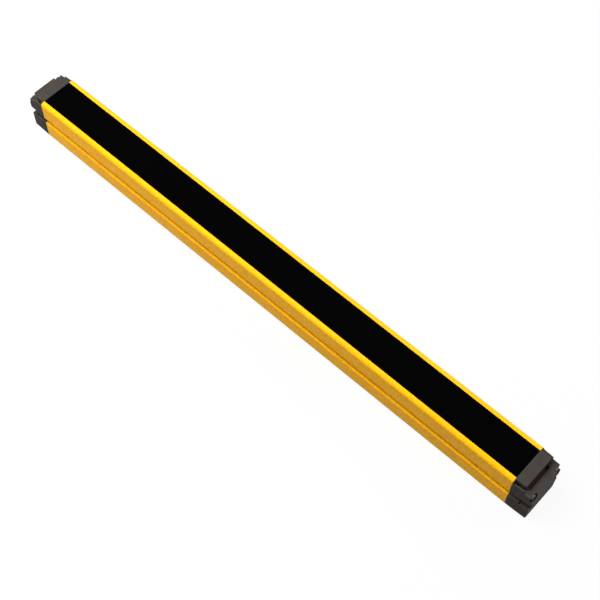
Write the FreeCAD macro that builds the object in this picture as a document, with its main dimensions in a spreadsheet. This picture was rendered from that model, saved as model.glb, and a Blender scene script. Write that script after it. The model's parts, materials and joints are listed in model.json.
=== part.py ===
import FreeCAD, Part

# Safety light curtain bar, millimetres.
#
# The bar lies on its back: X runs along it, Y across it and Z from its back (0) to its window.
# The origin is at the middle of the back. The inlet end is at -X, the blank end at +X.

import os

import Sketcher
from FreeCAD import Placement, Rotation, Vector

# ---------------------------------------------------------------- driving sizes

SIZES = [
    # aluminium extrusion
    ("profile_width", 40.0),
    ("profile_depth", 48.0),
    ("profile_corner", 3.0),
    ("side_wall", 2.0),
    ("back_wall", 2.5),
    ("lip_width", 4.65),
    ("lip_edge", 0.4),
    ("ledge_width", 2.0),
    ("ledge_thickness", 1.6),
    # side slots for sliding nuts
    ("slot_offset", 0.3),
    ("slot_opening", 7.0),
    ("slot_lip", 2.4),
    ("slot_cavity", 11.5),
    ("slot_depth", 5.4),
    ("slot_wall", 1.6),
    ("slot_edge", 0.5),
    # ribs that guide the circuit boards inside the extrusion
    ("guide_rib", 1.3),
    ("guide_reach", 1.2),
    ("emitter_guide", 23.2),
    ("control_guide", 8.8),
    # front window and its bedding
    ("window_thickness", 2.0),
    ("window_recess", 0.15),
    ("window_gap", 0.1),
    ("window_edge", 0.3),
    ("seal_thickness", 0.5),
    ("seal_gap", 0.1),
    # cap screws and the ports they bite into
    ("screw_inset", 4.9),
    ("screw_rise", 6.55),
    ("screw_radius", 1.5),
    ("screw_length", 26.0),
    ("head_radius", 2.6),
    ("head_height", 1.3),
    ("head_edge", 0.4),
    ("socket_radius", 1.15),
    ("socket_depth", 0.9),
    ("port_radius", 3.4),
    ("port_slit", 1.2),
    ("port_web", 3.0),
    ("thread_gap", 0.05),
    ("screw_gap", 0.1),
    # gaskets between the extrusion and the caps
    ("gasket_thickness", 1.0),
    ("gasket_inset", 0.1),
    # end caps
    ("cap_length", 19.0),
    ("cap_draft", 0.7),
    ("cap_edge", 0.8),
    ("pad_length", 9.7),
    ("pad_inset", 3.2),
    ("pad_corner", 1.2),
    ("pad_edge", 0.5),
    ("rim_drop", 3.7),
    ("rim_width", 1.2),
    ("block_drop", 7.0),
    ("block_edge", 0.35),
    ("channel_width", 2.7),
    ("channel_drop", 7.6),
    ("channel_depth", 2.2),
    ("channel_start", 1.6),
    ("tower_radius", 2.4),
    ("recess_radius", 3.05),
    ("recess_depth", 2.3),
    ("mouth_start", 9.3),
    ("mouth_rise", 0.7),
    ("mouth_fall", 1.9),
    ("cavity_height", 20.4),
    ("cavity_depth", 6.0),
    ("tab_thickness", 1.3),
    ("tab_height", 11.5),
    ("tab_length", 2.0),
    ("tab_gap", 0.3),
    # recessed round inlet in the inlet end cap
    ("pocket_radius", 9.0),
    ("pocket_depth", 10.5),
    ("inlet_radius", 6.0),
    ("inlet_bore", 4.9),
    ("inlet_flange", 8.0),
    ("flange_height", 1.2),
    ("inlet_reach", 8.0),
    ("inlet_tail_gap", 0.4),
    ("inlet_gap", 0.05),
    ("inlet_seal_thickness", 0.5),
    ("nut_width", 14.0),
    ("nut_height", 2.0),
    ("insert_gap", 0.05),
    ("insert_face", 3.0),
    ("insert_tail", 1.0),
    ("contact_radius", 0.4),
    ("contact_circle", 2.75),
    ("circle_contacts", 7),
    ("contact_reach", 4.8),
    ("contact_tail", 1.6),
    ("key_width", 1.6),
    ("inlet_board_radius", 7.5),
    ("inlet_board_thickness", 1.0),
    ("ribbon_width", 10.0),
    ("ribbon_thickness", 0.5),
    ("ribbon_bend", 1.5),
    # optics: equal modules in a row, each with the same number of beams
    ("modules", 5),
    ("module_beams", 5),
    ("beam_pitch", 20.0),
    ("end_room", 25.0),
    ("module_gap", 0.6),
    ("board_thickness", 1.6),
    ("board_gap", 0.2),
    ("carrier_gap", 1.3),
    ("optics_gap", 2.15),
    ("wing_gap", 0.6),
    ("wing_thickness", 1.8),
    ("well_wall", 2.1),
    ("well_floor", 1.5),
    ("well_throat", 2.2),
    ("lens_plate", 1.6),
    ("lens_gap", 0.4),
    ("lens_bulge", 2.0),
    ("lens_inset", 0.3),
    ("emitter_radius", 1.5),
    ("emitter_height", 4.0),
    ("emitter_dome", 1.2),
    ("emitter_collar", 1.9),
    ("link_length", 16.0),
    ("link_width", 8.0),
    ("link_height", 2.4),
    ("link_step", 1.0),
    # control electronics
    ("control_length", 300.0),
    ("control_end_gap", 8.0),
    ("chip_width", 14.0),
    ("chip_height", 2.0),
    ("chip_spacing", 30.0),
    ("chip_place", 90.0),
    ("coil_radius", 6.5),
    ("coil_height", 7.0),
    ("coil_place", 60.0),
    ("capacitor_radius", 3.2),
    ("capacitor_height", 9.0),
    ("capacitor_spacing", 8.5),
    ("capacitor_place", 36.0),
    ("stacker_length", 5.0),
    ("stacker_width", 12.0),
    ("stacker_place", 24.0),
    # status lamps behind the window, next to the inlet end
    ("lamp_board_gap", 3.5),
    ("lamp_radius", 1.5),
    ("lamp_height", 3.0),
    ("lamp_spacing", 4.5),
    ("lamps", 4),
    ("guide_block_length", 8.0),
    ("guide_block_width", 20.0),
    ("guide_block_gap", 0.3),
]


class Size:
    """A length that carries both its number and its formula in the sheet."""

    def __init__(self, value, formula):
        self.value = value
        self.formula = formula

    def joined(self, sign, other, value):
        return Size(value, "(%s %s %s)" % (self.formula, sign, formula_of(other)))

    def __add__(self, other):
        return self.joined("+", other, self.value + number_of(other))

    def __sub__(self, other):
        return self.joined("-", other, self.value - number_of(other))

    def __mul__(self, other):
        return self.joined("*", other, self.value * number_of(other))

    def __truediv__(self, other):
        return self.joined("/", other, self.value / number_of(other))

    def __neg__(self):
        return Size(-self.value, "(-1 * %s)" % self.formula)


def number_of(size):
    return size.value if isinstance(size, Size) else size


def formula_of(size):
    return size.formula if isinstance(size, Size) else repr(size)


ZERO = Size(0.0, "0")
TOLERANCE = 0.01
HALF_ROOT_THREE = 0.75 ** 0.5


def bind(thing, path, size):
    """Tie one property of a document object to a formula in the sheet."""
    thing.setExpression(path, formula_of(size))


doc = FreeCAD.newDocument("SafetyLightCurtain")
sheet = doc.addObject("Spreadsheet::Sheet", "Sizes")
size = {}
for row, (name, value) in enumerate(SIZES, start=1):
    sheet.set("A%d" % row, name)
    sheet.set("B%d" % row, str(value))
    sheet.setAlias("B%d" % row, name)
    size[name] = Size(value, "Sizes." + name)
doc.recompute()

# ------------------------------------------------ places worked out from the sizes

module_length = size["beam_pitch"] * size["module_beams"]
optics_length = module_length * size["modules"]
profile_length = optics_length + size["end_room"] * 2
half_length = profile_length / 2
half_width = size["profile_width"] / 2
front = size["profile_depth"]
slot_middle = front / 2 - size["slot_offset"]
slot_bottom = slot_middle - size["slot_opening"] / 2
slot_top = slot_middle + size["slot_opening"] / 2
cavity_bottom = slot_middle - size["slot_cavity"] / 2
cavity_top = slot_middle + size["slot_cavity"] / 2
slot_floor = half_width - size["slot_depth"]
neck = slot_floor - size["slot_wall"]
chamber = half_width - size["side_wall"]
shelf = cavity_top + size["slot_wall"]
rear_roof = cavity_bottom - size["slot_wall"]
opening = half_width - size["lip_width"]
window_back = front - size["window_recess"] - size["window_thickness"]
rebate_floor = window_back - size["seal_thickness"]
ledge_tip = opening - size["ledge_width"]
ledge_back = rebate_floor - size["ledge_thickness"]
screw_across = half_width - size["screw_inset"]
screw_up = shelf + size["screw_rise"]
screw_hole = size["screw_radius"] + size["screw_gap"]
gasket_end = half_length + size["gasket_thickness"]
guide_gap = size["board_thickness"] + size["board_gap"] * 2
inner_neck = neck - size["guide_reach"]
tab_outer = inner_neck - size["tab_gap"]
tab_inner = tab_outer - size["tab_thickness"]
carrier_half = inner_neck - size["carrier_gap"]
carrier_front = window_back - size["optics_gap"] - size["lens_plate"] - size["board_gap"] / 2
wing_half = chamber - size["wing_gap"]
well_radius = carrier_half - size["well_wall"]
lens_radius = well_radius - size["lens_gap"]
control_floor = size["control_guide"] + size["board_gap"]
control_top = control_floor + size["board_thickness"]
control_start = -half_length + size["control_end_gap"]
emitter_floor = size["emitter_guide"] + size["board_gap"]
emitter_top = emitter_floor + size["board_thickness"]

# ---------------------------------------------------------------- modelling helpers


def new_body(label):
    body = doc.addObject("PartDesign::Body", label)
    body.Label = label
    return body


def new_sketch(body, role, offset=None):
    """A sketch on one of the body's own origin planes, moved along its normal."""
    plane = [part for part in body.Origin.OriginFeatures if part.Role == role][0]
    sketch = body.newObject("Sketcher::SketchObject", body.Name + "_sketch")
    sketch.AttachmentSupport = [(plane, "")]
    sketch.MapMode = "FlatFace"
    if offset is not None:
        bind(sketch, "AttachmentOffset.Base.z", offset)
    return sketch


def constrain(sketch, kind, *terms):
    """Add one constraint; its last term may be a Size, which is bound to the sheet."""
    *places, last = terms
    index = sketch.addConstraint(Sketcher.Constraint(kind, *places, number_of(last)))
    if isinstance(last, Size):
        bind(sketch, "Constraints[%d]" % index, last)


def pin(sketch, geometry, point, across, up):
    """Hold one point of a curve at two distances from the sketch's origin."""
    constrain(sketch, "DistanceX", -1, 1, geometry, point, across)
    constrain(sketch, "DistanceY", -1, 1, geometry, point, up)


def heading(start, stop):
    """The way from one corner to the next along an axis, as two whole signs."""
    across = number_of(stop[0]) - number_of(start[0])
    up = number_of(stop[1]) - number_of(start[1])
    return (across > 0) - (across < 0), (up > 0) - (up < 0)


def moved(place, way, distance):
    """A place shifted along one axis, leaving the other coordinate as it was."""
    return tuple(part + distance * sign if sign else part for part, sign in zip(place, way))


def vector(place):
    return Vector(number_of(place[0]), number_of(place[1]), 0)


def outline(sketch, corners):
    """Draw a closed outline; a corner is (across, up) or, between axis-aligned runs, adds a radius."""
    ends = []
    for index, corner in enumerate(corners):
        place = corner[:2]
        if len(corner) == 2:
            ends.append((place, place, None))
            continue
        arriving = heading(corners[index - 1], corner)
        leaving = heading(corner, corners[(index + 1) % len(corners)])
        backwards = (-arriving[0], -arriving[1])
        start = moved(place, backwards, corner[2])
        stop = moved(place, leaving, corner[2])
        left_turn = arriving[0] * leaving[1] - arriving[1] * leaving[0] > 0
        ends.append((start, stop, (corner[2], moved(start, leaving, corner[2]), left_turn)))
    lines = []
    for index, (start, _, _) in enumerate(ends):
        lines.append(sketch.addGeometry(Part.LineSegment(vector(ends[index - 1][1]), vector(start))))
    for index, (start, stop, bend) in enumerate(ends):
        arriving_line = lines[index]
        leaving_line = lines[(index + 1) % len(lines)]
        pin(sketch, leaving_line, 1, *stop)
        if bend is None:
            sketch.addConstraint(Sketcher.Constraint("Coincident", arriving_line, 2, leaving_line, 1))
            continue
        pin(sketch, arriving_line, 2, *start)
        round_corner(sketch, (arriving_line, 2), (leaving_line, 1), start, stop, bend)


def round_corner(sketch, arriving, leaving, start, stop, bend):
    """Join two line ends with a quarter circle; sketch arcs always run anticlockwise."""
    radius, centre, left_turn = bend
    first, last = (start, stop) if left_turn else (stop, start)
    circle = Part.Circle(vector(centre), Vector(0, 0, 1), number_of(radius))
    arc = Part.ArcOfCircle(circle, circle.parameter(vector(first)), circle.parameter(vector(last)))
    geometry = sketch.addGeometry(arc)
    first_end, last_end = (arriving, leaving) if left_turn else (leaving, arriving)
    sketch.addConstraint(Sketcher.Constraint("Coincident", *first_end, geometry, 1))
    sketch.addConstraint(Sketcher.Constraint("Coincident", *last_end, geometry, 2))
    constrain(sketch, "Radius", geometry, radius)


def ring(sketch, across, up, radius):
    circle = Part.Circle(vector((across, up)), Vector(0, 0, 1), number_of(radius))
    geometry = sketch.addGeometry(circle)
    constrain(sketch, "Radius", geometry, radius)
    pin(sketch, geometry, 3, across, up)


def extrude(body, kind, sketch, length, symmetric=False, reverse=False):
    """Pad or Pocket a sketch; a Pocket cuts against the sketch's normal unless reversed."""
    feature = body.newObject("PartDesign::" + kind, body.Name + "_" + kind.lower())
    feature.Profile = sketch
    feature.SideType = "Symmetric" if symmetric else "One side"
    feature.Reversed = reverse
    bind(feature, "Length", length)
    return feature


def revolve(body, kind, sketch):
    """Turn a sketch a full circle about its own vertical axis."""
    feature = body.newObject("PartDesign::" + kind, body.Name + "_turn")
    feature.Profile = sketch
    feature.ReferenceAxis = (sketch, ["V_Axis"])
    feature.Angle = 360.0
    return feature


def repeat_along(body, feature, pitch, count):
    """Repeat one feature along the bar."""
    axis = [part for part in body.Origin.OriginFeatures if part.Role == "X_Axis"][0]
    pattern = body.newObject("PartDesign::LinearPattern", body.Name + "_row")
    pattern.Originals = [feature]
    pattern.Direction = (axis, [""])
    bind(pattern, "Occurrences", count)
    bind(pattern, "Length", pitch * (count - 1))
    body.Tip = pattern
    return pattern


def round_edges(body, radius, wanted):
    """Fillet the edges of the body's last feature that a test picks."""
    doc.recompute()
    base = body.Tip
    names = ["Edge%d" % (index + 1) for index, edge in enumerate(base.Shape.Edges) if wanted(edge)]
    feature = body.newObject("PartDesign::Fillet", body.Name + "_fillet")
    feature.Base = (base, names)
    bind(feature, "Radius", radius)
    return feature


def place(thing, along=None, across=None, up=None, turn=None):
    """Set a finished piece at its place, turned about the vertical first if asked."""
    if turn is not None:
        thing.Placement = Placement(Vector(), turn)
    for path, distance in (("x", along), ("y", across), ("z", up)):
        if distance is not None:
            bind(thing, "Placement.Base." + path, distance)


def mirrored(half):
    """The whole outline of a half that runs up on the +Y side, closed across the middle."""
    other = [(-corner[0],) + tuple(corner[1:]) for corner in reversed(half)]
    return half + other


def box(label, length, width, height, along, across, up):
    """A plain block, given by the middle of its length and width and by its underside."""
    block = doc.addObject("Part::Box", label)
    block.Label = label
    bind(block, "Length", length)
    bind(block, "Width", width)
    bind(block, "Height", height)
    place(block, along - length / 2, across - width / 2, up)
    return block


def prism(label, half, length):
    """A piece with one mirrored section all along its length."""
    body = new_body(label)
    sketch = new_sketch(body, "YZ_Plane")
    outline(sketch, mirrored(half))
    extrude(body, "Pad", sketch, length, symmetric=True)
    return body


def group(label, parts):
    """Several like solids kept together as one piece of the list."""
    bundle = doc.addObject("Part::Compound", label)
    bundle.Label = label
    bundle.Links = parts
    return bundle


pieces = []

# ---------------------------------------------------------------- extrusion and window


def guide(wall, height):
    """Two ribs on a side wall with the board's groove between them, from the top down."""
    tip = wall - size["guide_reach"]
    top = height + guide_gap
    return [
        (wall, top + size["guide_rib"]),
        (tip, top + size["guide_rib"]),
        (tip, top),
        (wall, top),
        (wall, height),
        (tip, height),
        (tip, height - size["guide_rib"]),
        (wall, height - size["guide_rib"]),
    ]


def side_slot(side):
    """The slot for sliding nuts, from the bottom up, with eased edges at its mouth."""
    inner_lip = side - size["slot_lip"]
    return [
        (side, slot_bottom, size["slot_edge"]),
        (inner_lip, slot_bottom),
        (inner_lip, cavity_bottom),
        (slot_floor, cavity_bottom),
        (slot_floor, cavity_top),
        (inner_lip, cavity_top),
        (inner_lip, slot_top),
        (side, slot_top, size["slot_edge"]),
    ]


def make_housing():
    """One extrusion: rounded shell, side slots, window rebate, board guides and screw ports."""
    inside = [
        (opening, front, size["lip_edge"]),
        (opening, rebate_floor),
        (ledge_tip, rebate_floor),
        (ledge_tip, ledge_back),
        (chamber, ledge_back),
        (chamber, shelf),
        (neck, shelf),
        *guide(neck, size["emitter_guide"]),
        (neck, rear_roof),
        (chamber, rear_roof),
        *guide(chamber, size["control_guide"]),
        (chamber, size["back_wall"]),
    ]
    outside = [
        (half_width, ZERO, size["profile_corner"]),
        *side_slot(half_width),
        (half_width, front, size["profile_corner"]),
    ]
    body = new_body("housing_profile")
    section = new_sketch(body, "YZ_Plane")
    left_inside = [(-corner[0],) + tuple(corner[1:]) for corner in reversed(inside)]
    left_outside = [(-corner[0],) + tuple(corner[1:]) for corner in reversed(outside)]
    outline(section, outside + inside + left_inside + left_outside)
    extrude(body, "Pad", section, profile_length, symmetric=True)
    ports = new_sketch(body, "YZ_Plane")
    bores = new_sketch(body, "YZ_Plane")
    slits = new_sketch(body, "YZ_Plane")
    webs = new_sketch(body, "YZ_Plane")
    half_slit = size["port_slit"] / 2
    half_web = size["port_web"] / 2
    for side in (1, -1):
        across = screw_across * side
        ring(ports, across, screw_up, size["port_radius"])
        ring(bores, across, screw_up, size["screw_radius"] + size["thread_gap"])
        inside_port = (screw_across - size["port_radius"]) * side
        in_wall = (chamber + size["side_wall"] / 2) * side
        outline(slits, [
            (across, screw_up - half_slit),
            (across, screw_up + half_slit),
            (inside_port, screw_up + half_slit),
            (inside_port, screw_up - half_slit),
        ])
        outline(webs, [
            (across, screw_up - half_web),
            (in_wall, screw_up - half_web),
            (in_wall, screw_up + half_web),
            (across, screw_up + half_web),
        ])
    extrude(body, "Pad", ports, profile_length, symmetric=True)
    extrude(body, "Pad", webs, profile_length, symmetric=True)
    extrude(body, "Pocket", bores, profile_length, symmetric=True)
    extrude(body, "Pocket", slits, profile_length, symmetric=True)
    return body


def make_window():
    half = [
        (opening - size["window_gap"], window_back),
        (opening - size["window_gap"], front - size["window_recess"], size["window_edge"]),
    ]
    return prism("front_window", half, profile_length)


def make_seal(label, side):
    """A strip between the window and its ledge."""
    width = size["ledge_width"] - size["seal_gap"] * 2
    middle = (opening - size["ledge_width"] / 2) * side
    length = profile_length
    return box(label, length, width, size["seal_thickness"], ZERO, middle, rebate_floor)


pieces += [
    make_housing(),
    make_window(),
    make_seal("window_seal_left", -1),
    make_seal("window_seal_right", 1),
]

# ---------------------------------------------------------------- ends of the bar

FAR_END_TURN = Rotation(Vector(0, 0, 1), 180)


def set_at_end(piece, side, distance):
    """Place a piece drawn outwards along X on one end of the bar, +1 blank or -1 inlet."""
    place(piece, distance * side, turn=FAR_END_TURN if side < 0 else None)


def make_gasket(label, side):
    """A flat seal with the extrusion's outline, open over the cavity and round the screws."""
    inset = size["gasket_inset"]
    edge = half_width - inset
    half = [
        (edge, inset, size["profile_corner"]),
        *side_slot(edge),
        (edge, front - inset, size["profile_corner"]),
    ]
    body = new_body(label)
    sketch = new_sketch(body, "YZ_Plane")
    outline(sketch, mirrored(half))
    for across in (screw_across, -screw_across):
        ring(sketch, across, screw_up, screw_hole)
    middle = slot_middle
    tall = size["cavity_height"] / 2
    outline(sketch, mirrored([(inner_neck, middle - tall), (inner_neck, middle + tall)]))
    extrude(body, "Pad", sketch, size["gasket_thickness"])
    set_at_end(body, side, half_length)
    return body


def side_at(along):
    """Half the cap's width at a distance from the gasket: the sides draw in a little."""
    return half_width - size["cap_draft"] * along / size["cap_length"]


def top_cut(body, loops, drop):
    """Cut shapes seen from the front straight down from the window's level."""
    sketch = new_sketch(body, "XY_Plane", front)
    for loop in loops:
        outline(sketch, loop)
    extrude(body, "Pocket", sketch, drop)


def both_sides(loop):
    return [loop, [(along, -across) for along, across in loop]]


def cut_pad(body):
    """Leave the pad that stands flush with the window, with its rims and the end block lower."""
    length = size["cap_length"]
    beyond = half_width + size["cap_edge"]
    past_end = length + size["cap_edge"]
    pad_end = size["pad_length"]
    block = [(pad_end, -beyond), (past_end, -beyond), (past_end, beyond), (pad_end, beyond)]
    top_cut(body, [block], size["block_drop"])
    rim = [
        (ZERO, side_at(ZERO) - size["pad_inset"]),
        (pad_end, side_at(pad_end) - size["pad_inset"]),
        (pad_end, beyond),
        (ZERO, beyond),
    ]
    top_cut(body, both_sides(rim), size["rim_drop"])


def cut_channel(body):
    """The channel round three sides of the pad, deeper along its end, between the screws."""
    start = size["channel_start"]
    pad_end = size["pad_length"]
    far_side = pad_end + size["channel_width"]
    reach = size["cap_length"] - size["recess_depth"]

    def outer(along):
        return side_at(along) - size["rim_width"]

    def inner(along):
        return side_at(along) - size["pad_inset"]

    quarter = [
        (start, outer(start)),
        (start, inner(start)),
        (pad_end, inner(pad_end)),
    ]
    tail = [
        (far_side, inner(far_side)),
        (reach, inner(reach)),
        (reach, outer(reach)),
    ]
    left = [(along, -across) for along, across in quarter]
    left_tail = [(along, -across) for along, across in reversed(tail)]
    top_cut(body, [quarter + left[::-1] + left_tail + tail], size["channel_drop"])
    tower = screw_across - size["tower_radius"]
    middle = [(pad_end, -tower), (far_side, -tower), (far_side, tower), (pad_end, tower)]
    top_cut(body, [middle], size["channel_drop"] + size["channel_depth"])


def cut_slots(body):
    """Carry the side slots through the cap, then open their mouths so that a nut slides in."""
    beyond = half_width + size["cap_edge"]
    shape = new_sketch(body, "YZ_Plane")
    for side in (1, -1):
        cavity = [corner[:2] for corner in side_slot(half_width)[1:-1]]
        loop = [(beyond, slot_bottom), *cavity, (beyond, slot_top)]
        outline(shape, [(across * side, up) for across, up in loop])
    extrude(body, "Pocket", shape, size["mouth_start"], reverse=True)
    mouth = new_sketch(body, "YZ_Plane", size["mouth_start"])
    low = slot_bottom - size["mouth_fall"]
    high = slot_top + size["mouth_rise"]
    for side in (1, -1):
        loop = [(beyond, low), (slot_floor, low), (slot_floor, high), (beyond, high)]
        outline(mouth, [(across * side, up) for across, up in loop])
    extrude(body, "Pocket", mouth, size["cap_length"] - size["mouth_start"], reverse=True)


def cut_screws(body):
    """Clearance holes, and recesses at the front corners that are rounded under the heads."""
    holes = new_sketch(body, "YZ_Plane")
    recesses = new_sketch(body, "YZ_Plane", size["cap_length"])
    low = screw_up - size["recess_radius"]
    inner = screw_across - size["recess_radius"]
    beyond = half_width + size["cap_edge"]
    for side in (1, -1):
        ring(holes, screw_across * side, screw_up, screw_hole)
        outline(recesses, [
            (beyond * side, low),
            (inner * side, low, size["recess_radius"]),
            (inner * side, front),
            (beyond * side, front),
        ])
    extrude(body, "Pocket", holes, size["cap_length"], reverse=True)
    extrude(body, "Pocket", recesses, size["recess_depth"])


def add_tabs(body):
    """Two tabs that locate the cap between the extrusion's inner walls."""
    low = slot_middle - size["tab_height"] / 2
    high = slot_middle + size["tab_height"] / 2
    sketch = new_sketch(body, "YZ_Plane")
    outline(sketch, [(tab_inner, low), (tab_outer, low), (tab_outer, high), (tab_inner, high)])
    outline(sketch, [(-tab_outer, low), (-tab_inner, low), (-tab_inner, high), (-tab_outer, high)])
    extrude(body, "Pad", sketch, size["gasket_thickness"] + size["tab_length"], reverse=True)


def make_cap(label, side, inlet):
    """A moulded cap, drawn outwards from its gasket."""
    body = new_body(label)
    plan = new_sketch(body, "XY_Plane")
    length = size["cap_length"]
    end = side_at(length)
    outline(plan, [(ZERO, -half_width), (length, -end), (length, end), (ZERO, half_width)])
    extrude(body, "Pad", plan, front)
    narrow = number_of(end)
    high = number_of(front)
    far = number_of(length)

    def lengthwise(edge):
        along = {round(vertex.X) for vertex in edge.Vertexes}
        across = [abs(vertex.Y) for vertex in edge.Vertexes]
        return along == {0, round(far)} and min(across) > narrow - TOLERANCE

    round_edges(body, size["profile_corner"], lengthwise)
    cut_pad(body)
    cut_channel(body)
    cut_slots(body)
    cut_screws(body)
    cavity = new_sketch(body, "YZ_Plane")
    low = slot_middle - size["cavity_height"] / 2
    top = slot_middle + size["cavity_height"] / 2
    outline(cavity, mirrored([(tab_inner, low), (tab_inner, top)]))
    extrude(body, "Pocket", cavity, size["cavity_depth"], reverse=True)
    if inlet:
        pocket = new_sketch(body, "YZ_Plane", length)
        ring(pocket, ZERO, slot_middle, size["pocket_radius"])
        extrude(body, "Pocket", pocket, size["pocket_depth"])
        bore = new_sketch(body, "YZ_Plane", length)
        ring(bore, ZERO, slot_middle, size["inlet_radius"] + size["inlet_gap"])
        extrude(body, "Pocket", bore, length)
    add_tabs(body)
    pad_far = number_of(size["pad_length"])

    def pad_upright(edge):
        reach = edge.BoundBox
        at_pad = abs(reach.XMin - pad_far) < TOLERANCE and reach.XLength < TOLERANCE
        return at_pad and reach.YLength < TOLERANCE and abs(reach.ZMax - high) < TOLERANCE

    def pad_top(edge):
        level = all(abs(vertex.Z - high) < TOLERANCE for vertex in edge.Vertexes)
        return level and any(vertex.X > TOLERANCE for vertex in edge.Vertexes)

    def block_end(edge):
        reach = edge.BoundBox
        at_end = reach.XMin > far - TOLERANCE
        return at_end and reach.ZMin > high - number_of(size["block_drop"]) - TOLERANCE

    def outer_end(edge):
        reach = edge.BoundBox
        at_end = reach.XMin > far - TOLERANCE
        outside = min(abs(reach.YMin), abs(reach.YMax)) > narrow - TOLERANCE
        underneath = reach.ZMax < TOLERANCE
        return at_end and (outside or underneath)

    round_edges(body, size["pad_corner"], pad_upright)
    round_edges(body, size["pad_edge"], pad_top)
    round_edges(body, size["block_edge"], block_end)
    round_edges(body, size["cap_edge"], outer_end)
    set_at_end(body, side, gasket_end)
    return body


def make_screw(label, side, across):
    """A pan head screw along X, drawn from the underside of its head."""
    body = new_body(label)
    section = new_sketch(body, "XZ_Plane")
    head = size["head_radius"]
    top = size["head_height"]
    outline(section, [
        (ZERO, top),
        (ZERO, -size["screw_length"]),
        (size["screw_radius"], -size["screw_length"]),
        (size["screw_radius"], ZERO),
        (head, ZERO),
        (head, top, size["head_edge"]),
    ])
    revolve(body, "Revolution", section)
    socket = new_sketch(body, "XY_Plane", top)
    hexagon(socket, ZERO, ZERO, size["socket_radius"])
    extrude(body, "Pocket", socket, size["socket_depth"])
    seat = gasket_end + size["cap_length"] - size["recess_depth"]
    turn = Rotation(Vector(0, 1, 0), 90 * side)
    place(body, seat * side, across, screw_up, turn)
    return body


def hexagon(sketch, across, up, radius):
    """A regular hexagon with a corner on the horizontal axis."""
    rise = radius * HALF_ROOT_THREE
    half = radius / 2
    outline(sketch, [
        (across + radius, up),
        (across + half, up + rise),
        (across - half, up + rise),
        (across - radius, up),
        (across - half, up - rise),
        (across + half, up - rise),
    ])


for end_name, side in (("inlet", -1), ("blank", 1)):
    pieces.append(make_gasket(end_name + "_end_gasket", side))
    pieces.append(make_cap(end_name + "_end_cap", side, inlet=side < 0))
    pieces.append(make_screw(end_name + "_cap_screw_left", side, -screw_across))
    pieces.append(make_screw(end_name + "_cap_screw_right", side, screw_across))

# ---------------------------------------------------------------- recessed inlet

pocket_floor = size["cap_length"] - size["pocket_depth"]
flange_seat = pocket_floor + size["inlet_seal_thickness"]
insert_end = flange_seat + size["flange_height"] + size["insert_face"]
AXIS_TURN = Rotation(Vector(0, 1, 0), -90)


def turned(label, corners):
    """A round piece about the inlet's axis; corners are (radius, distance from the gasket)."""
    body = new_body(label)
    section = new_sketch(body, "XZ_Plane")
    outline(section, corners)
    revolve(body, "Revolution", section)
    return body


def set_on_inlet(piece):
    place(piece, -gasket_end, up=slot_middle, turn=AXIS_TURN)


def make_inlet():
    """Shell, seal, nut, contact insert, contacts, board and ribbon of the inlet."""
    bore = size["inlet_bore"]
    radius = size["inlet_radius"]
    tail = size["insert_tail"] + size["contact_tail"] + size["inlet_tail_gap"]
    mouth = flange_seat + size["flange_height"] + size["inlet_reach"]
    flange_top = flange_seat + size["flange_height"]
    shell = turned("inlet_shell", [
        (bore, tail),
        (radius, tail),
        (radius, flange_seat),
        (size["inlet_flange"], flange_seat),
        (size["inlet_flange"], flange_top),
        (radius, flange_top),
        (radius, mouth),
        (bore, mouth),
    ])
    seal_bore = radius + size["inlet_gap"]
    seal = turned("inlet_seal", [
        (seal_bore, pocket_floor),
        (size["inlet_flange"], pocket_floor),
        (size["inlet_flange"], flange_seat),
        (seal_bore, flange_seat),
    ])
    nut = new_body("inlet_nut")
    nut_start = size["cavity_depth"] - size["nut_height"]
    nut_plan = new_sketch(nut, "XY_Plane", nut_start)
    hexagon(nut_plan, ZERO, ZERO, size["nut_width"] / 2 / HALF_ROOT_THREE)
    ring(nut_plan, ZERO, ZERO, seal_bore)
    extrude(nut, "Pad", nut_plan, size["nut_height"])
    insert = new_body("inlet_insert")
    insert_plan = new_sketch(insert, "XY_Plane", size["insert_tail"] + size["contact_tail"])
    insert_radius = bore - size["insert_gap"]
    ring(insert_plan, ZERO, ZERO, insert_radius)
    insert_length = insert_end - size["insert_tail"] - size["contact_tail"]
    extrude(insert, "Pad", insert_plan, insert_length)
    key = new_sketch(insert, "XY_Plane", insert_end)
    half_key = size["key_width"] / 2
    outline(key, [
        (insert_radius - half_key, -half_key),
        (insert_radius + half_key, -half_key),
        (insert_radius + half_key, half_key),
        (insert_radius - half_key, half_key),
    ])
    extrude(insert, "Pocket", key, size["contact_reach"])
    contact_holes = new_sketch(insert, "XY_Plane", insert_end)
    contacts = new_body("inlet_contacts")
    contact_plan = new_sketch(contacts, "XY_Plane", insert_end + size["contact_reach"])
    for across, up in contact_places():
        ring(contact_holes, across, up, size["contact_radius"] + size["insert_gap"])
        ring(contact_plan, across, up, size["contact_radius"])
    extrude(insert, "Pocket", contact_holes, insert_length)
    contact_length = insert_length + size["contact_reach"] + size["contact_tail"]
    extrude(contacts, "Pad", contact_plan, contact_length, reverse=True)
    board = new_body("inlet_board")
    board_end = size["insert_tail"] + size["contact_tail"]
    board_plan = new_sketch(board, "XY_Plane", board_end - size["inlet_board_thickness"])
    ring(board_plan, ZERO, ZERO, size["inlet_board_radius"])
    for across, up in contact_places():
        ring(board_plan, across, up, size["contact_radius"] + size["insert_gap"])
    extrude(board, "Pad", board_plan, size["inlet_board_thickness"])
    parts = [shell, seal, nut, insert, contacts, board]
    for part in parts:
        set_on_inlet(part)
    return parts


def contact_places():
    """One contact in the middle and the others evenly on a circle round it."""
    places = [(ZERO, ZERO)]
    on_circle = size["circle_contacts"].value
    for index in range(on_circle):
        ray = Rotation(Vector(0, 0, 1), 360 * (index + 0.5) / on_circle).multVec(Vector(1, 0, 0))
        places.append((size["contact_circle"] * ray.x, size["contact_circle"] * ray.y))
    return places


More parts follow.
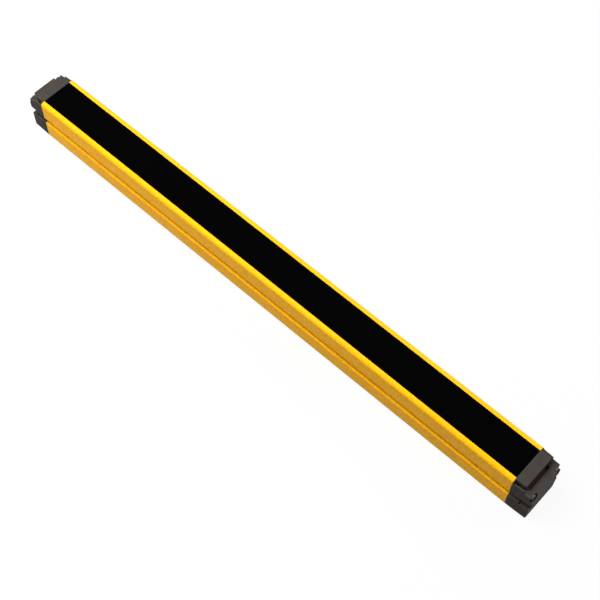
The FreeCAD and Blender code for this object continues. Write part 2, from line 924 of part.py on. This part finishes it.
def make_ribbon():
    """A flat flexible cable from the inlet's board down to the control board."""
    thick = size["ribbon_thickness"]
    bend = size["ribbon_bend"]
    board_face = -gasket_end - size["insert_tail"] - size["contact_tail"] + size["inlet_board_thickness"]
    upper = slot_middle - size["inlet_board_radius"] / 2
    fall = -half_length + size["control_end_gap"] / 2
    end = control_start + size["ribbon_width"]
    body = new_body("inlet_ribbon")
    sketch = new_sketch(body, "XZ_Plane")
    outline(sketch, [
        (board_face, upper),
        (fall, upper, bend),
        (fall, control_top),
        (end, control_top),
        (end, control_top + thick),
        (fall + thick, control_top + thick, bend),
        (fall + thick, upper + thick, bend + thick),
        (board_face, upper + thick),
    ])
    extrude(body, "Pad", sketch, size["ribbon_width"], symmetric=True)
    return body


pieces += make_inlet()
pieces.append(make_ribbon())

# ---------------------------------------------------------------- optics


module_start = size["module_gap"] / 2 - size["beam_pitch"] / 2


def first_beam(module):
    """Where a module's first beam stands along the bar."""
    middle = module_length * (module - (size["modules"].value + 1) / 2)
    return middle - size["beam_pitch"] * (size["module_beams"] - 1) / 2


def make_carrier(module):
    """A moulded block with one tapered well for each beam and wings that rest on the shelf."""
    body = new_body("optics_carrier_%d" % module)
    section = new_sketch(body, "YZ_Plane", module_start)
    half = carrier_half
    wing = wing_half
    wing_floor = shelf + size["board_gap"] / 2
    outline(section, mirrored([
        (half, emitter_top + size["board_gap"] / 2),
        (half, wing_floor),
        (wing, wing_floor),
        (wing, wing_floor + size["wing_thickness"]),
        (half, wing_floor + size["wing_thickness"]),
        (half, carrier_front),
    ]))
    extrude(body, "Pad", section, module_length - size["module_gap"])
    well = new_sketch(body, "XZ_Plane")
    floor = emitter_top + size["board_gap"] / 2
    outline(well, [
        (ZERO, floor),
        (size["well_throat"], floor),
        (size["well_throat"], floor + size["well_floor"]),
        (well_radius, carrier_front - size["lens_bulge"]),
        (well_radius, carrier_front),
        (ZERO, carrier_front),
    ])
    return finish_row(body, revolve(body, "Groove", well), module)


def lens_section(sketch, flat):
    """Half of a lens: flat in front and bulging backwards, about the sketch's vertical axis."""
    radius = lens_radius
    bulge = size["lens_bulge"]
    curve = (radius * radius + bulge * bulge) / (bulge * 2)
    centre = flat - bulge + curve
    top = (ZERO, flat)
    rim = (radius, flat)
    tip = (ZERO, flat - bulge)
    circle = Part.Circle(vector((ZERO, centre)), Vector(0, 0, 1), number_of(curve))
    stretch = [circle.parameter(vector(tip)), circle.parameter(vector(rim))]
    arc = sketch.addGeometry(Part.ArcOfCircle(circle, *stretch))
    across = sketch.addGeometry(Part.LineSegment(vector(rim), vector(top)))
    down = sketch.addGeometry(Part.LineSegment(vector(top), vector(tip)))
    for earlier, later in ((arc, across), (across, down), (down, arc)):
        sketch.addConstraint(Sketcher.Constraint("Coincident", earlier, 2, later, 1))
    constrain(sketch, "Radius", arc, curve)
    pin(sketch, across, 1, *rim)
    pin(sketch, across, 2, *top)
    constrain(sketch, "DistanceX", -1, 1, down, 2, ZERO)


def finish_row(body, feature, module):
    """Repeat a feature made on the first beam's axis, then set the module at its place."""
    repeat_along(body, feature, size["beam_pitch"], size["module_beams"])
    place(body, first_beam(module))
    return body


def make_lenses(module):
    """A clear strip with one lens for each beam, flat towards the window."""
    body = new_body("lens_strip_%d" % module)
    back = carrier_front + size["board_gap"] / 2
    half = carrier_half - size["lens_inset"]
    strip = new_sketch(body, "YZ_Plane", module_start)
    outline(strip, mirrored([(half, back), (half, back + size["lens_plate"])]))
    extrude(body, "Pad", strip, module_length - size["module_gap"])
    lens = new_sketch(body, "XZ_Plane")
    lens_section(lens, back)
    return finish_row(body, revolve(body, "Revolution", lens), module)


def make_emitters(module):
    """One domed diode for each beam, standing on the board."""
    body = new_body("emitter_group_%d" % module)
    section = new_sketch(body, "XZ_Plane")
    collar_top = emitter_top + size["emitter_radius"] / 2
    outline(section, [
        (ZERO, emitter_top),
        (size["emitter_collar"], emitter_top),
        (size["emitter_collar"], collar_top),
        (size["emitter_radius"], collar_top),
        (size["emitter_radius"], emitter_top + size["emitter_height"], size["emitter_dome"]),
        (ZERO, emitter_top + size["emitter_height"]),
    ])
    return finish_row(body, revolve(body, "Revolution", section), module)


def module_middle(module):
    return module_length * (module - (size["modules"].value + 1) / 2)


def make_modules():
    made = []
    board_width = (neck - size["board_gap"]) * 2
    for module in range(1, size["modules"].value + 1):
        length = module_length - size["module_gap"]
        made.append(box("emitter_board_%d" % module, length, board_width, size["board_thickness"],
                        module_middle(module), ZERO, emitter_floor))
        made.append(make_carrier(module))
        made.append(make_lenses(module))
        made.append(make_emitters(module))
    for joint in range(1, size["modules"].value):
        made.append(make_link(joint))
    return made


def make_link(joint):
    """A plug under the gap between two emitter boards, with a slimmer waist."""
    body = new_body("board_link_%d" % joint)
    section = new_sketch(body, "XZ_Plane")
    half = size["link_length"] / 2
    waist = size["module_gap"]
    low = emitter_floor - size["link_height"]
    outline(section, [
        (-half, low),
        (-waist, low),
        (-waist, low + size["link_step"]),
        (waist, low + size["link_step"]),
        (waist, low),
        (half, low),
        (half, emitter_floor),
        (-half, emitter_floor),
    ])
    extrude(body, "Pad", section, size["link_width"], symmetric=True)
    place(body, (module_middle(joint) + module_middle(joint + 1)) / 2)
    return body


pieces += make_modules()

# ---------------------------------------------------------------- control electronics


def cylinder(label, radius, height, along, across, up):
    part = doc.addObject("Part::Cylinder", label)
    part.Label = label
    bind(part, "Radius", radius)
    bind(part, "Height", height)
    place(part, along, across, up)
    return part


def make_control():
    """The control board in the rear chamber with what stands on it."""
    length = size["control_length"]
    width = (chamber - size["board_gap"]) * 2
    board = box("control_board", length, width, size["board_thickness"],
                control_start + length / 2, ZERO, control_floor)
    chips = []
    for index in (0, 1):
        along = control_start + size["chip_place"] + size["chip_spacing"] * index
        chips.append(box("controller_chip_%d" % (index + 1), size["chip_width"], size["chip_width"],
                         size["chip_height"], along, ZERO, control_top))
    coil = cylinder("supply_coil", size["coil_radius"], size["coil_height"],
                    control_start + size["coil_place"], ZERO, control_top)
    cans = []
    for index in (-1, 0, 1):
        across = size["capacitor_spacing"] * index
        cans.append(cylinder("capacitor_%d" % (index + 2), size["capacitor_radius"], size["capacitor_height"],
                             control_start + size["capacitor_place"], across, control_top))
    stacker = box("board_stacker", size["stacker_length"], size["stacker_width"],
                  emitter_floor - control_top, control_start + size["stacker_place"], ZERO, control_top)
    return [board, group("controllers", chips), coil, group("capacitors", cans), stacker]


def make_indicator():
    """A small board with the status lamps and the clear block that carries their light forward."""
    up = shelf + size["board_gap"] / 2
    middle = -(half_length + optics_length / 2) / 2
    length = size["end_room"] - size["lamp_board_gap"] * 2
    board = box("lamp_board", length, wing_half * 2, size["board_thickness"],
                middle, ZERO, up)
    lamp_floor = up + size["board_thickness"]
    lamps = []
    for index in range(size["lamps"].value):
        across = size["lamp_spacing"] * (index - (size["lamps"].value - 1) / 2)
        lamps.append(cylinder("status_lamp_%d" % (index + 1), size["lamp_radius"], size["lamp_height"],
                              middle, across, lamp_floor))
    low = lamp_floor + size["lamp_height"] + size["guide_block_gap"]
    block = box("light_guide", size["guide_block_length"], size["guide_block_width"],
                window_back - size["guide_block_gap"] - low, middle, ZERO, low)
    return [board, group("status_lamps", lamps), block]


pieces += make_control()
pieces += make_indicator()

# ---------------------------------------------------------------- checks and export

doc.recompute()
for item in doc.Objects:
    assert not {"Invalid", "Error"} & set(item.State), "%s failed: %s" % (item.Label, item.State)
for item in doc.Objects:
    if item.TypeId in ("PartDesign::Pocket", "PartDesign::Groove"):
        removed = item.BaseFeature.Shape.Volume - item.Shape.Volume
        assert removed > 0, item.Label + " cuts nothing"
for piece in pieces:
    assert not piece.Shape.isNull() and piece.Shape.isValid(), piece.Label + " has a bad shape"
os.makedirs("parts", exist_ok=True)
for piece in pieces:
    piece.Shape.exportStep("parts/%s.step" % piece.Label)
print(len(pieces), "pieces written")
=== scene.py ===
"""Dresses the safety light curtain's CAD frame: materials, floor, soft light and camera.

Everything is in metres, in the CAD's own frame. Colours are linear.
"""
import json

import bpy
from mathutils import Matrix, Vector

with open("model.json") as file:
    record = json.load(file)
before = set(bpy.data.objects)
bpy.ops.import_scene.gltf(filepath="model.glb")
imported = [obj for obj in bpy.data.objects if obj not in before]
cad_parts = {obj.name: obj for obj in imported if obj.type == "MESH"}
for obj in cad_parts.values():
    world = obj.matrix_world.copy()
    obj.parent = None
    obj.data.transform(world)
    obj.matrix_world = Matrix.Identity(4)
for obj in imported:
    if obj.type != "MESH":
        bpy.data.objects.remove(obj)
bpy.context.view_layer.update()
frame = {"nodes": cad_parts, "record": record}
nodes = frame["nodes"]
scene = bpy.context.scene
scene.view_settings.view_transform = "Standard"

MM = 0.001

# ---------------------------------------------------------------- shading helpers

# Moves one noise away from another, so that their patterns don't line up.
NOISE_SHIFT = 3.7
EVEN = (1.0, 1.0, 1.0)
BEVEL_SAMPLES = 4


class Shade:
    """One material: a principled shader with helpers for grain, patches and worn edges."""

    def __init__(self, name, colour, roughness, metallic=0.0, specular=0.5):
        self.material = bpy.data.materials.new(name)
        self.material.use_nodes = True
        self.tree = self.material.node_tree
        self.shader = self.tree.nodes["Principled BSDF"]
        self.shader.inputs["Base Color"].default_value = (*colour, 1.0)
        self.shader.inputs["Roughness"].default_value = roughness
        self.shader.inputs["Metallic"].default_value = metallic
        self.shader.inputs["Specular IOR Level"].default_value = specular
        self.place = self.tree.nodes.new("ShaderNodeTexCoord").outputs["Object"]
        self.height = None

    def node(self, kind, **values):
        made = self.tree.nodes.new(kind)
        for key, value in values.items():
            setattr(made, key, value)
        return made

    def link(self, source, target):
        self.tree.links.new(source, target)

    def noise(self, size, detail=2.0, roughness=0.5, stretch=EVEN, shift=0.0):
        """Noise with features about size across. A stretch under 1 draws them out along an axis."""
        mapping = self.node("ShaderNodeMapping")
        mapping.inputs["Scale"].default_value = stretch
        mapping.inputs["Location"].default_value = (shift, shift, shift)
        texture = self.node("ShaderNodeTexNoise")
        texture.inputs["Scale"].default_value = 1.0 / size
        texture.inputs["Detail"].default_value = detail
        texture.inputs["Roughness"].default_value = roughness
        self.link(self.place, mapping.inputs["Vector"])
        self.link(mapping.outputs["Vector"], texture.inputs["Vector"])
        return texture.outputs["Fac"]

    def ranged(self, value, low, high, start=0.0, stop=1.0):
        """A value whose range from low to high is spread from start to stop, and held there."""
        spread = self.node("ShaderNodeMapRange")
        spread.inputs["From Min"].default_value = low
        spread.inputs["From Max"].default_value = high
        spread.inputs["To Min"].default_value = start
        spread.inputs["To Max"].default_value = stop
        self.link(value, spread.inputs["Value"])
        return spread.outputs["Result"]

    def tint(self, mask, colour):
        """Blend the base colour so far towards another where the mask is high."""
        mix = self.node("ShaderNodeMix", data_type="RGBA")
        base = self.shader.inputs["Base Color"]
        if base.links:
            self.link(base.links[0].from_socket, mix.inputs["A"])
        else:
            mix.inputs["A"].default_value = base.default_value
        mix.inputs["B"].default_value = (*colour, 1.0)
        self.link(mask, mix.inputs["Factor"])
        self.link(mix.outputs["Result"], base)

    def patches(self, value, colour, low, high, strength):
        """Tint from where a value passes low, up to a strength where it reaches high."""
        self.tint(self.ranged(value, low, high, 0.0, strength), colour)

    def gloss(self, mask, smoothest, roughest):
        """Roughness that rises with a mask."""
        roughness = self.ranged(mask, 0.0, 1.0, smoothest, roughest)
        self.link(roughness, self.shader.inputs["Roughness"])

    def bump(self, value, depth):
        """Raise the surface by up to a depth where a value is high, on top of earlier bumps."""
        bump = self.node("ShaderNodeBump")
        bump.inputs["Distance"].default_value = depth
        bump.inputs["Strength"].default_value = 1.0
        self.link(value, bump.inputs["Height"])
        if self.height:
            self.link(self.height, bump.inputs["Normal"])
        self.height = bump.outputs["Normal"]
        self.link(self.height, self.shader.inputs["Normal"])

    def edges(self, radius, low, high):
        """A mask that is high along edges, from how far a rounded normal turns there."""
        bevel = self.node("ShaderNodeBevel", samples=BEVEL_SAMPLES)
        bevel.inputs["Radius"].default_value = radius
        flat = self.node("ShaderNodeNewGeometry")
        dot = self.node("ShaderNodeVectorMath", operation="DOT_PRODUCT")
        self.link(bevel.outputs["Normal"], dot.inputs[0])
        self.link(flat.outputs["Normal"], dot.inputs[1])
        turn = self.node("ShaderNodeMath", operation="SUBTRACT")
        turn.inputs[0].default_value = 1.0
        self.link(dot.outputs["Value"], turn.inputs[1])
        return self.ranged(turn.outputs["Value"], low, high)


# ---------------------------------------------------------------- kinds of material


def powder_coat():
    """Yellow powder coat: a fine orange peel, faint clouds, darker mottling and paler specks."""
    yellow = (0.95, 0.465, 0.003)
    clouded = (0.82, 0.365, 0.003)
    darker = (0.655, 0.309, 0.001)
    paler = (0.94, 0.50, 0.03)
    shade = Shade("yellow_powder_coat", yellow, roughness=0.45, specular=0.05)
    peel = shade.noise(0.9 * MM, detail=3.0)
    cloud = shade.noise(14 * MM, detail=4.0, stretch=(0.25, 1.0, 1.0), shift=NOISE_SHIFT)
    speck = shade.noise(0.28 * MM, detail=1.0, shift=NOISE_SHIFT * 2)
    mottle = shade.noise(1.5 * MM, detail=2.0, roughness=0.7, shift=NOISE_SHIFT * 3)
    shade.patches(cloud, clouded, low=0.35, high=0.75, strength=0.35)
    shade.patches(mottle, darker, low=0.40, high=0.60, strength=0.8)
    shade.patches(speck, paler, low=0.55, high=0.75, strength=0.45)
    shade.gloss(cloud, smoothest=0.36, roughest=0.50)
    shade.bump(peel, depth=0.030 * MM)
    shade.bump(speck, depth=0.008 * MM)
    return shade.material


def window_black():
    """Infrared clear filter plastic, which looks black, with the faintest haze of dust."""
    black = (0.0004, 0.0004, 0.0005)
    dusty = (0.02, 0.02, 0.02)
    shade = Shade("window_black", black, roughness=0.12, specular=0.01)
    haze = shade.noise(22 * MM, detail=5.0, stretch=(0.4, 1.0, 1.0))
    dust = shade.noise(0.5 * MM, detail=1.0, shift=NOISE_SHIFT)
    shade.patches(dust, dusty, low=0.72, high=0.85, strength=0.12)
    shade.gloss(haze, smoothest=0.09, roughest=0.17)
    shade.bump(haze, depth=0.004 * MM)
    return shade.material


def rubber():
    """Black rubber with a grey bloom."""
    black = (0.012, 0.012, 0.012)
    bloomed = (0.03, 0.029, 0.028)
    shade = Shade("black_rubber", black, roughness=0.75, specular=0.3)
    grain = shade.noise(0.25 * MM, detail=2.0)
    bloom = shade.noise(6 * MM, detail=3.0, shift=NOISE_SHIFT)
    shade.patches(bloom, bloomed, low=0.45, high=0.75, strength=0.4)
    shade.gloss(bloom, smoothest=0.68, roughest=0.85)
    shade.bump(grain, depth=0.015 * MM)
    return shade.material


PALER_GAIN = 1.35
PALER_LIFT = 0.004
GRAIN_GLOSS = 0.07
# Radius that finds the edges for the painted edge highlight.
PAINTED_HIGHLIGHT_WIDTH = 0.7 * MM


def moulded(name, colour, roughness, grain_size=0.35 * MM, depth=0.012 * MM, specular=0.4, painted_edge_highlight=None):
    """Moulded plastic with a spark-eroded grain, softly varied gloss and perhaps a painted highlight
    along its edges.
    """
    shade = Shade(name, colour, roughness, specular=specular)
    grain = shade.noise(grain_size, detail=2.0)
    cloud = shade.noise(9 * MM, detail=3.0, shift=NOISE_SHIFT)
    paler = tuple(channel * PALER_GAIN + PALER_LIFT for channel in colour)
    shade.patches(cloud, paler, low=0.35, high=0.70, strength=0.5)
    shade.patches(grain, paler, low=0.55, high=0.75, strength=0.35)
    # Painted highlight: a paler tint along the edges, in a colour the caller gives.
    if painted_edge_highlight:
        shade.tint(shade.edges(PAINTED_HIGHLIGHT_WIDTH, low=0.005, high=0.10), painted_edge_highlight)
    shade.gloss(grain, roughness - GRAIN_GLOSS, roughness + GRAIN_GLOSS)
    shade.bump(grain, depth)
    return shade.material


DULL_SHARE = 0.72
TURNED = (1.0, 1.0, 0.08)


def metal(name, colour, smoothest, roughest, marks_along=EVEN, marks_size=0.2 * MM):
    """Metal with fine tool marks, perhaps drawn out along one axis, and a slightly uneven shine."""
    shade = Shade(name, colour, smoothest, metallic=1.0)
    marks = shade.noise(marks_size, detail=3.0, stretch=marks_along)
    cloud = shade.noise(5 * MM, detail=3.0, shift=NOISE_SHIFT)
    dull = tuple(channel * DULL_SHARE for channel in colour)
    shade.patches(cloud, dull, low=0.40, high=0.75, strength=0.45)
    shade.gloss(marks, smoothest, roughest)
    shade.bump(marks, depth=0.003 * MM)
    return shade.material


def circuit_board():
    """Green solder mask over a fine glass weave, in small fields that are paler at their rims."""
    green = (0.012, 0.13, 0.045)
    paler = (0.03, 0.22, 0.09)
    weave_size = 2.2 * MM
    field_size = 3.5 * MM
    shade = Shade("board_green", green, roughness=0.32, specular=0.5)
    weave = shade.node("ShaderNodeTexWave", wave_type="BANDS", bands_direction="DIAGONAL")
    weave.inputs["Scale"].default_value = 1.0 / weave_size
    weave.inputs["Distortion"].default_value = 1.5
    shade.link(shade.place, weave.inputs["Vector"])
    fields = shade.node("ShaderNodeTexVoronoi", feature="F1", distance="CHEBYCHEV")
    fields.inputs["Scale"].default_value = 1.0 / field_size
    shade.link(shade.place, fields.inputs["Vector"])
    shade.patches(fields.outputs["Distance"], paler, low=0.30, high=0.50, strength=0.6)
    shade.gloss(weave.outputs["Fac"], smoothest=0.27, roughest=0.38)
    shade.bump(fields.outputs["Distance"], depth=0.02 * MM)
    return shade.material


ACRYLIC_IOR = 1.49
FLOW_GLOSS = 0.06


def clear(name, colour, roughness, transmission):
    """Clear moulded optics with a trace of flow lines."""
    shade = Shade(name, colour, roughness)
    flow = shade.noise(7 * MM, detail=3.0, stretch=(0.3, 1.0, 1.0))
    shade.shader.inputs["Transmission Weight"].default_value = transmission
    shade.shader.inputs["IOR"].default_value = ACRYLIC_IOR
    shade.gloss(flow, roughness, roughness + FLOW_GLOSS)
    shade.bump(flow, depth=0.01 * MM)
    return shade.material


# ---------------------------------------------------------------- one look for each slot


def end_caps():
    """Dark brown-black caps, whose edges a painted highlight makes a little paler."""
    return moulded(
        "cap_grey", (0.039, 0.033, 0.0290), roughness=0.50, grain_size=0.55 * MM, depth=0.02 * MM,
        # The paler edge colour here is a painted highlight.
        specular=0.01, painted_edge_highlight=(0.078, 0.070, 0.064),
    )


LOOKS = {
    "yellow_paint": powder_coat(),
    "window_black": window_black(),
    "cap_grey": end_caps(),
    "black_rubber": rubber(),
    "screw_steel": metal("screw_steel", (0.07, 0.065, 0.06), 0.34, 0.55),
    "plated_metal": metal("plated_metal", (0.74, 0.71, 0.66), 0.20, 0.34, marks_along=TURNED),
    "insert_black": moulded("insert_black", (0.016, 0.016, 0.017), 0.45),
    "contact_gold": metal("contact_gold", (0.88, 0.63, 0.25), 0.16, 0.28, marks_size=0.1 * MM),
    "board_green": circuit_board(),
    "ribbon_grey": moulded("ribbon_grey", (0.30, 0.30, 0.31), 0.50, grain_size=0.8 * MM),
    "carrier_black": moulded("carrier_black", (0.022, 0.022, 0.022), 0.60),
    "lens_clear": clear("lens_clear", (0.92, 0.94, 0.96), 0.04, transmission=0.92),
    "emitter_clear": clear("emitter_clear", (0.55, 0.62, 0.80), 0.06, transmission=0.80),
    "connector_black": moulded("connector_black", (0.020, 0.020, 0.022), 0.50),
    "chip_black": moulded("chip_black", (0.018, 0.018, 0.019), 0.62, grain_size=0.2 * MM),
    "coil_black": moulded("coil_black", (0.045, 0.040, 0.036), 0.70, grain_size=0.3 * MM),
    "can_aluminium": metal("can_aluminium", (0.78, 0.79, 0.81), 0.24, 0.36, marks_along=TURNED),
    "lamp_white": moulded("lamp_white", (0.78, 0.78, 0.74), 0.35),
}

for entry in frame["record"]["subparts"]:
    mesh = nodes[entry["node"]].data
    mesh.materials.clear()
    mesh.materials.append(LOOKS[entry["material_slot"]])

# ---------------------------------------------------------------- floor and surroundings

WHITE = (1.0, 1.0, 1.0, 1.0)
FLOOR_WIDTH = 12.0
FLOOR_HEIGHT = -0.0002
FLOOR_ROUGHNESS = 0.9
# How pale the floor is to the light that it throws back, and to the camera.
FLOOR_BOUNCE = 0.22
FLOOR_PAPER = 0.60
# The share of plain white in what the camera sees; the rest shows the bar's shadow.
FLOOR_GLOW = 0.93
SURROUNDINGS_LEVEL = 0.08


def seen_directly(tree):
    """One for rays from the camera, for mirrored rays and for rays through clear pieces."""
    path = tree.nodes.new("ShaderNodeLightPath")
    total = path.outputs["Is Camera Ray"]
    for name in ("Is Glossy Ray", "Is Transmission Ray"):
        larger = tree.nodes.new("ShaderNodeMath")
        larger.operation = "MAXIMUM"
        tree.links.new(total, larger.inputs[0])
        tree.links.new(path.outputs[name], larger.inputs[1])
        total = larger.outputs["Value"]
    return total


def studio_floor():
    """A wide pale floor that the camera sees as white paper, with the bar's soft shadow kept."""
    bpy.ops.mesh.primitive_plane_add(size=FLOOR_WIDTH, location=(0.0, 0.0, FLOOR_HEIGHT))
    floor = bpy.context.object
    floor.name = "studio_floor"
    material = bpy.data.materials.new("studio_floor")
    material.use_nodes = True
    tree = material.node_tree
    matte = tree.nodes["Principled BSDF"]
    matte.inputs["Roughness"].default_value = FLOOR_ROUGHNESS
    matte.inputs["Specular IOR Level"].default_value = 0.0
    glow = tree.nodes.new("ShaderNodeEmission")
    glow.inputs["Color"].default_value = WHITE
    seen = seen_directly(tree)
    paper = tree.nodes.new("ShaderNodeMapRange")
    paper.inputs["To Min"].default_value = FLOOR_BOUNCE
    paper.inputs["To Max"].default_value = FLOOR_PAPER
    tree.links.new(seen, paper.inputs["Value"])
    tree.links.new(paper.outputs["Result"], matte.inputs["Base Color"])
    share = tree.nodes.new("ShaderNodeMath")
    share.operation = "MULTIPLY"
    share.inputs[1].default_value = FLOOR_GLOW
    tree.links.new(seen, share.inputs[0])
    blend = tree.nodes.new("ShaderNodeMixShader")
    tree.links.new(share.outputs["Value"], blend.inputs["Fac"])
    tree.links.new(matte.outputs["BSDF"], blend.inputs[1])
    tree.links.new(glow.outputs["Emission"], blend.inputs[2])
    tree.links.new(blend.outputs["Shader"], tree.nodes["Material Output"].inputs["Surface"])
    floor.data.materials.append(material)


def studio_world():
    """Even dim surroundings that the camera sees as white."""
    world = bpy.data.worlds.new("studio")
    scene.world = world
    world.use_nodes = True
    tree = world.node_tree
    around = tree.nodes["Background"]
    around.inputs["Color"].default_value = WHITE
    around.inputs["Strength"].default_value = SURROUNDINGS_LEVEL
    white = tree.nodes.new("ShaderNodeBackground")
    white.inputs["Color"].default_value = WHITE
    white.inputs["Strength"].default_value = 1.0
    blend = tree.nodes.new("ShaderNodeMixShader")
    tree.links.new(seen_directly(tree), blend.inputs["Fac"])
    tree.links.new(around.outputs["Background"], blend.inputs[1])
    tree.links.new(white.outputs["Background"], blend.inputs[2])
    tree.links.new(blend.outputs["Shader"], tree.nodes["World Output"].inputs["Surface"])


studio_floor()
studio_world()

# ---------------------------------------------------------------- lights


def softbox(name, place, target, width, height, watts):
    """A rectangular softbox at a place, facing a target."""
    data = bpy.data.lights.new(name, "AREA")
    data.shape = "RECTANGLE"
    data.size = width
    data.size_y = height
    data.energy = watts
    lamp = bpy.data.objects.new(name, data)
    lamp.location = place
    lamp.rotation_euler = (Vector(target) - Vector(place)).to_track_quat("-Z", "Y").to_euler()
    scene.collection.objects.link(lamp)


softbox(
    "key_softbox", place=(-0.5, -0.3, 1.4), target=(0.0, 0.0, 0.0),
    width=1.0, height=0.8, watts=37.5,
)
softbox(
    "far_side_softbox", place=(0.45, 1.15, 1.0), target=(0.1, 0.0, 0.0),
    width=1.2, height=0.6, watts=14.0,
)
softbox(
    "left_softbox", place=(-0.9, -0.7, 0.45), target=(-0.25, 0.0, 0.0),
    width=0.5, height=0.5, watts=5.0,
)

# ---------------------------------------------------------------- camera

# High over the near side of the blank end, as in the photograph. Lens and sensor are in mm.
CAMERA_LENS = 72.98
CAMERA_SENSOR = 36.0
CAMERA_PLACE = Vector((0.3885, -0.3928, 0.9327))
CAMERA_FORWARD = Vector((-0.337, 0.3723, -0.8648))
CAMERA_UPWARD = Vector((-0.586, 0.636, 0.502))


def studio_camera():
    data = bpy.data.cameras.new("studio_camera")
    data.lens = CAMERA_LENS
    data.sensor_width = CAMERA_SENSOR
    camera = bpy.data.objects.new("studio_camera", data)
    forward = CAMERA_FORWARD.normalized()
    across = forward.cross(CAMERA_UPWARD).normalized()
    upward = across.cross(forward)
    turn = Matrix((across, upward, -forward)).transposed().to_4x4()
    camera.matrix_world = Matrix.Translation(CAMERA_PLACE) @ turn
    scene.collection.objects.link(camera)
    scene.camera = camera


studio_camera()

# ---------------------------------------------------------------- final update of the view layer

bpy.context.view_layer.update()
